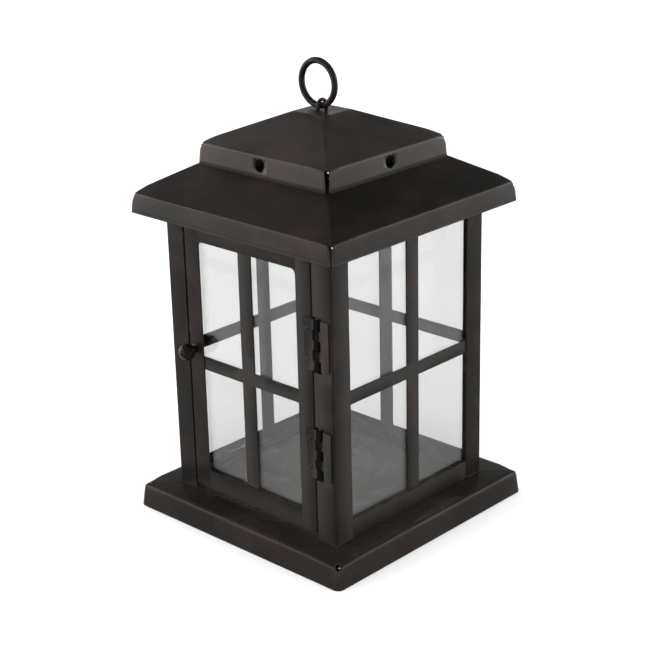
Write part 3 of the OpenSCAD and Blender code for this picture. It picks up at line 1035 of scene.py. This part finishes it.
def hinge_leaf(axis, side, near, far, first):
    """A plate with rounded corners from near to far beside the axis, and every other
    knuckle from the first."""
    count, gap = 5, 0.3 * MM
    corner_r = 1.1 * MM
    steps = 5
    front = axis.y - BARREL_R
    half = HINGE_H / 2
    bend_u, bend_z = far - corner_r, half - corner_r
    arc = [math.pi / 2 * k / steps for k in range(steps + 1)]
    bend = [(bend_u + corner_r * math.sin(t), bend_z + corner_r * math.cos(t)) for t in arc]
    outline = [(near, -half)] + [(u, -z) for u, z in bend] + bend[::-1] + [(near, half)]
    made = prism(
        [[(axis.x + side * u, front + d, axis.z + z) for u, z in outline] for d in (0, SHEET)]
    )
    pitch = HINGE_H / count
    root = axis.x + side * near
    for k in range(first, count, 2):
        low_z = axis.z - half + k * pitch + gap / 2
        high_z = low_z + pitch - gap
        absorb(made, knuckle(axis, side, low_z, high_z))
        tongue = box_mesh(
            (min(axis.x, root), front, low_z),
            (max(axis.x, root), front + SHEET, high_z),
        )
        absorb(made, tongue)
    return made


def hinge_pieces():
    """Both leaves of both hinges."""
    for hinge in ("upper", "lower"):
        pin_low, pin_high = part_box(f"{hinge}_hinge_pin")
        axis = (pin_low + pin_high) / 2
        axis.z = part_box(f"{hinge}_hinge_door_leaf")[0].z + HINGE_H / 2
        door_far = axis.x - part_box(f"{hinge}_hinge_door_leaf")[0].x
        post_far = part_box(f"{hinge}_hinge_post_leaf")[1].x - axis.x
        leaves = {
            "door": ("door", hinge_leaf(axis, -1, 3.2 * MM, door_far, first=0)),
            "post": ("housing", hinge_leaf(axis, 1, 3.0 * MM, post_far, first=1)),
        }
        for leaf, (body, made) in leaves.items():
            nodes = [f"{hinge}_hinge_{leaf}_leaf"]
            add_piece(f"{hinge}_{leaf}_leaf", made, HINGE_PAINT, body, nodes, bevel=0.13 * MM)


def rivets():
    """Four pressed rivets: a domed head, painted over."""
    low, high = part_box("hinge_rivets")
    x = (low.x + high.x) / 2
    head_r, tail_r, shank_r, dome = 1.6 * MM, 1.3 * MM, 0.8 * MM, 0.5 * MM
    apart = 9 * MM
    profile = [
        (0, -SHEET - dome),
        (tail_r * 0.9, -SHEET - dome),
        (tail_r, -SHEET - dome * 0.6),
        (tail_r, -SHEET),
        (shank_r, -SHEET),
        (shank_r, SHEET * 0.99),
        (head_r, SHEET),
        (head_r * 0.94, SHEET + dome * 0.45),
        (head_r * 0.72, SHEET + dome * 0.78),
        (head_r * 0.45, SHEET + dome * 0.95),
        (head_r * 0.2, SHEET + dome),
        (0, SHEET + dome),
    ]
    made = bmesh.new()
    for hinge in ("upper", "lower"):
        leaf_low, leaf_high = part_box(f"{hinge}_hinge_door_leaf")
        middle = (leaf_low.z + leaf_high.z) / 2
        for up in (-1, 1):
            rivet = lathe(profile, steps=28)
            for vert in rivet.verts:
                vert.co = Vector((x + vert.co.x, -BODY - vert.co.z, middle + up * apart + vert.co.y))
            absorb(made, rivet)
    add_piece("rivets", made, PAINT, "door", ["hinge_rivets"])


hinge_pieces()
rivets()


# ---------------------------------------------------------------- ring


def ring_piece():
    """The hanging ring: bent from wire that is a little uneven."""
    low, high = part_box("hanging_ring")
    centre = (low + high) / 2
    wire_r = (high.y - low.y) / 2
    radius = (high.x - low.x) / 2 - wire_r
    steps = 96
    turns = [2 * math.pi * k / steps for k in range(steps)]
    path = [centre + Vector((radius * math.cos(t), 0, radius * math.sin(t))) for t in turns]

    def uneven(k):
        return wire_r * (1 - 0.02 * abs(math.sin(k * 0.45)))

    made = tube(path, uneven, steps=20, closed=True)
    add_piece("ring", made, KNOB_PAINT, "ring", ["hanging_ring"])


def staple_piece():
    """The wire staple that the ring hangs in, with its legs' ends spread."""
    low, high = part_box("ring_staple")
    wire_r = 1.1 * MM
    foot = 3.4 * MM
    reach = high.y - foot / 2
    eye_z = high.z - wire_r - reach
    leg, arc = 5, 18
    path = [Vector((0, -reach, low.z + (eye_z - low.z) * k / leg)) for k in range(leg)]
    for k in range(arc + 1):
        t = math.pi - math.pi * k / arc
        path.append(Vector((0, reach * math.cos(t), eye_z + reach * math.sin(t))))
    path += [Vector((0, reach, eye_z + (low.z - eye_z) * k / leg)) for k in range(1, leg + 1)]

    def spread_end(k):
        return wire_r * 1.5 if k in (0, len(path) - 1) else wire_r

    made = tube(path, spread_end, steps=16)
    add_piece("staple", made, KNOB_PAINT, "housing", ["ring_staple"])


ring_piece()
staple_piece()


# ---------------------------------------------------------------- weld beads


def foot_beads():
    """Ragged beads of weld and paint where the posts stand on the base."""
    outside, above = 0.15 * MM, 0.1 * MM
    run = POST_W - 1.5 * MM
    stations = 40
    for number, (name, turn) in enumerate(CORNER_TURNS.items()):
        path = []
        for k in range(stations + 1):
            along = k / stations * 2 * run
            if along < run:
                x, y = BODY - run + along, -BODY - outside
            else:
                x, y = BODY + outside, -BODY + along - run
            path.append(place((x, y, BASE_TOP + above), turn))

        def ragged(k, number=number):
            return (0.42 + 0.22 * noise.noise(Vector((k * 0.55, number * 3.1, 0.5)))) * MM

        add_piece(f"foot_bead_{name}", tube(path, ragged, steps=10), PAINT, "housing", [])


foot_beads()


# ---------------------------------------------------------------- CAD nodes that stay


def finish_cad_nodes():
    """The unseen CAD pieces keep their shapes and get their finishes."""
    steel = {"door_catch_spring", "door_knob_washer", "staple_plate"}
    for name, piece in NODES.items():
        piece.data.materials.clear()
        piece.data.materials.append(STEEL if name in steel else PAINT)


finish_cad_nodes()


# ---------------------------------------------------------------- floor, light and camera


def floor():
    """A pale round floor with a faint mottle."""
    made = bmesh.new()
    bmesh.ops.create_circle(made, cap_ends=True, radius=920 * MM, segments=96)
    mesh = bpy.data.meshes.new("floor")
    made.to_mesh(mesh)
    made.free()
    piece = bpy.data.objects.new("floor", mesh)
    bpy.context.scene.collection.objects.link(piece)
    mat, tree, shader = new_material("pale_floor")
    mottle = noise_at(tree, 3, detail=2)
    tree.links.new(
        ramp(tree, mottle, [(0.3, (0.92, 0.92, 0.92)), (0.7, (0.94, 0.94, 0.94))]),
        shader.inputs["Base Color"],
    )
    shader.inputs["Roughness"].default_value = 0.9
    shader.inputs["Specular IOR Level"].default_value = 0.1
    mesh.materials.append(mat)


def grey_ramp(tree, source, stops):
    """A ramp of greys: stops are (position, level)."""
    return ramp(tree, source, [(position, (level, level, level)) for position, level in stops])


def sky():
    """A studio: white below and round the horizon, dim overhead, with bright walls on the left
    and on the right."""
    world = bpy.data.worlds.new("studio")
    bpy.context.scene.world = world
    world.use_nodes = True
    tree = world.node_tree
    back = tree.nodes["Background"]
    coords = node(tree, "ShaderNodeTexCoord")
    split = node(tree, "ShaderNodeSeparateXYZ")
    tree.links.new(coords.outputs["Generated"], split.inputs["Vector"])
    up = spread(tree, split.outputs["Z"], 0.0, 1.0, -1.0, 1.0)
    level = grey_ramp(
        tree,
        up,
        [(0.0, 1.2), (0.45, 1.25), (0.54, 1.2), (0.68, 0.5), (0.80, 0.22), (0.9, 0.2), (1.0, 0.4)],
    )
    across = node(tree, "ShaderNodeVectorMath", operation="DOT_PRODUCT")
    across.inputs[1].default_value = (0.72, 0.69, 0)
    tree.links.new(coords.outputs["Generated"], across.inputs[0])
    turned = spread(tree, across.outputs["Value"], 0.0, 1.0, -1.0, 1.0)
    walls = grey_ramp(tree, turned, [(0.08, 4.8), (0.3, 1.0), (0.7, 1.0), (0.92, 4.0)])
    lit = node(tree, "ShaderNodeVectorMath", operation="MULTIPLY")
    tree.links.new(level, lit.inputs[0])
    tree.links.new(walls, lit.inputs[1])
    tree.links.new(lit.outputs["Vector"], back.inputs["Color"])
    back.inputs["Strength"].default_value = 1.0


def area_light(name, spot, target, size, power):
    """A rectangular lamp at spot that faces its target."""
    light = bpy.data.lights.new(name, "AREA")
    light.shape = "RECTANGLE"
    light.size, light.size_y = size
    light.energy = power
    lamp = bpy.data.objects.new(name, light)
    bpy.context.scene.collection.objects.link(lamp)
    lamp.location = spot
    lamp.rotation_mode = "QUATERNION"
    lamp.rotation_quaternion = (Vector(target) - Vector(spot)).to_track_quat("-Z", "Y")


def lights():
    """Soft boxes, and a strip on either side that draws the bright lines along the folds."""
    area_light("key", (1.3, -1.5, 1.7), (0, 0, 0), (1.4, 1.4), 16)
    area_light("overhead", (0.0, 0.0, 1.7), (0, 0, 0), (1.2, 1.2), 7)
    area_light("left_wall", (-1.3, 0.1, 1.5), (0, 0, 0.2), (1.0, 0.8), 2)
    area_light("left_strip", (-1.0, -0.95, 0.78), (0, 0, 0.15), (1.3, 0.1), 13)
    area_light("right_strip", (0.95, 1.02, 0.74), (0, 0, 0.15), (1.3, 0.1), 13)


def camera():
    """From the front right, a little above, through a long lens."""
    azimuth, elevation, roll = math.radians(43.7), math.radians(20.73), math.radians(-1.41)
    distance, aim_z = 0.988, 0.110
    aside, rise = -1.35 * MM, 3.83 * MM
    back = Vector(
        (
            math.sin(azimuth) * math.cos(elevation),
            -math.cos(azimuth) * math.cos(elevation),
            math.sin(elevation),
        )
    )
    right = Vector((math.cos(azimuth), math.sin(azimuth), 0))
    up = back.cross(right)
    turned_right = right * math.cos(roll) + up * math.sin(roll)
    turned_up = up * math.cos(roll) - right * math.sin(roll)
    data = bpy.data.cameras.new("camera")
    data.lens = 91.94
    data.sensor_width = 36
    data.clip_start, data.clip_end = 0.05, 50
    made = bpy.data.objects.new("camera", data)
    bpy.context.scene.collection.objects.link(made)
    spot = Vector((0, 0, aim_z)) + back * distance + right * aside + up * rise
    facing = Matrix((turned_right, turned_up, back)).transposed().to_4x4()
    made.matrix_world = Matrix.Translation(spot) @ facing
    bpy.context.scene.camera = made


floor()
sky()
lights()
camera()
bpy.context.scene.view_settings.view_transform = "Standard"
